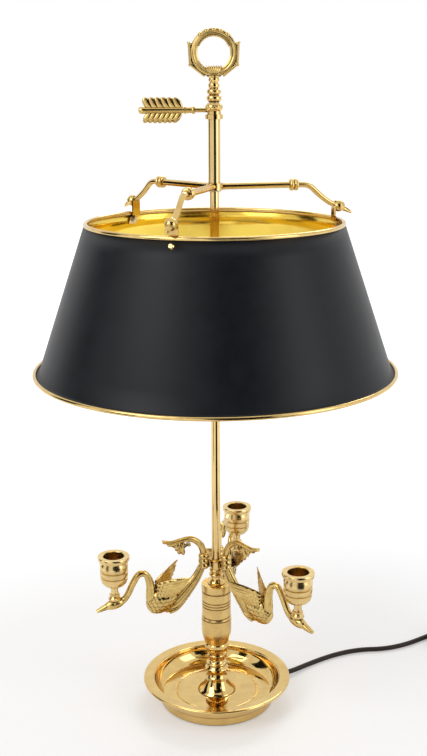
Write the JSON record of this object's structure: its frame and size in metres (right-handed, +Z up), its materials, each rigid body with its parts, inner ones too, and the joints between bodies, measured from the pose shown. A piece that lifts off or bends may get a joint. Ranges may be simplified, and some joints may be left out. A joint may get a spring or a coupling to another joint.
{
  "type": "bouillotte lamp",
  "caption": "Brass bouillotte table lamp: dish base, swan candle arms, and a black metal shade that slides and turns on the stem, clamped by an arrow-shaped thumbscrew.",
  "frame": {"origin": "centre of the round foot on the table surface", "axes": "+Z up along the stem; -Y is the front as seen in the picture; the thumbscrew points along -X"},
  "size_m": [0.5625, 0.3772, 0.7206],
  "materials": {
    "aged_brass": "cast and turned brass, old gold lacquer, darker in the hollows",
    "satin_brass": "lathe-turned brass with fine turning lines",
    "polished_brass": "polished brass tube",
    "shade_black": "satin black outside, gold lacquer inside",
    "shade_brass": "rolled brass bead",
    "felt": "green felt",
    "iron": "plain cast iron",
    "steel": "zinc-plated steel",
    "dark_steel": "browned steel",
    "nylon": "natural nylon",
    "socket_brass": "thin drawn brass",
    "liner_card": "grey-brown insulating card",
    "phenolic": "dark moulded phenolic",
    "bulb_glass": "frosted glass",
    "bulb_metal": "spun aluminium screw base",
    "knob_plastic": "moulded black plastic",
    "cord_brown": "dark brown vinyl",
    "plug_brown": "moulded dark brown vinyl"
  },
  "bodies": {
    "lamp": {"felt_pad": "felt", "base_weight": "iron", "rod_washer": "steel", "rod_nut": "steel", "tie_rod": "steel", "cup_screws": "steel", "base_dish": "aged_brass", "base_bell": "aged_brass", "ring_spool": "aged_brass", "lower_bowl": "aged_brass", "barrel_cap": "aged_brass", "arm_hub": "aged_brass", "swan_arm_left": "aged_brass", "swan_arm_right": "aged_brass", "swan_arm_back": "aged_brass", "candle_cup_left": "aged_brass", "candle_cup_right": "aged_brass", "candle_cup_back": "aged_brass", "finial_neck": "aged_brass", "finial_ring": "aged_brass", "cluster_body": "aged_brass", "barrel": "satin_brass", "lower_stem": "polished_brass", "upper_stem": "polished_brass", "socket_tube_left": "polished_brass", "socket_tube_right": "polished_brass", "arm_studs": "dark_steel", "socket_shell_left": "socket_brass", "socket_cap_left": "socket_brass", "socket_liner_left": "liner_card", "socket_core_left": "phenolic", "bulb_base_left": "bulb_metal", "bulb_glass_left": "bulb_glass", "socket_shell_right": "socket_brass", "socket_cap_right": "socket_brass", "socket_liner_right": "liner_card", "socket_core_right": "phenolic", "bulb_base_right": "bulb_metal", "bulb_glass_right": "bulb_glass", "contact_shells": "socket_brass", "cord_run": "cord_brown", "cord_coil": "cord_brown", "strain_relief": "knob_plastic", "plug_body": "plug_brown", "plug_blades": "socket_brass"},
    "slider": {"guide_bush": "nylon"},
    "shade_carrier": {"clamp_collar": "aged_brass", "sleeve_tube": "polished_brass", "spider_hub": "aged_brass", "spider_arm_front": "aged_brass", "spider_arm_right": "aged_brass", "spider_arm_rear": "aged_brass", "shade_screws": "polished_brass", "shade_nuts": "steel", "shade_shell": "shade_black", "shade_top_rim": "shade_brass", "shade_bottom_rim": "shade_brass"},
    "key": {"arrow_key": "aged_brass"},
    "knob_left": {"socket_knob_left": "knob_plastic"},
    "knob_right": {"socket_knob_right": "knob_plastic"}
  },
  "joints": [
    {"name": "shade_height", "type": "slide", "parent": "lamp", "child": "slider", "axis": [0, 0, 1], "range_m": [-0.04, 0]},
    {"name": "shade_turn", "type": "hinge", "parent": "slider", "child": "shade_carrier", "pos_m": [0, 0, 0.6], "axis": [0, 0, 1], "continuous": true},
    {"name": "key_turn", "type": "hinge", "parent": "shade_carrier", "child": "key", "pos_m": [-0.03, 0, 0.6425], "axis": [-1, 0, 0], "range_deg": [0, 360]},
    {"name": "knob_left_turn", "type": "hinge", "parent": "lamp", "child": "knob_left", "pos_m": [-0.064, 0, 0.424], "axis": [-1, 0, 0], "continuous": true},
    {"name": "knob_right_turn", "type": "hinge", "parent": "lamp", "child": "knob_right", "pos_m": [0.064, 0, 0.424], "axis": [1, 0, 0], "continuous": true}
  ]
}
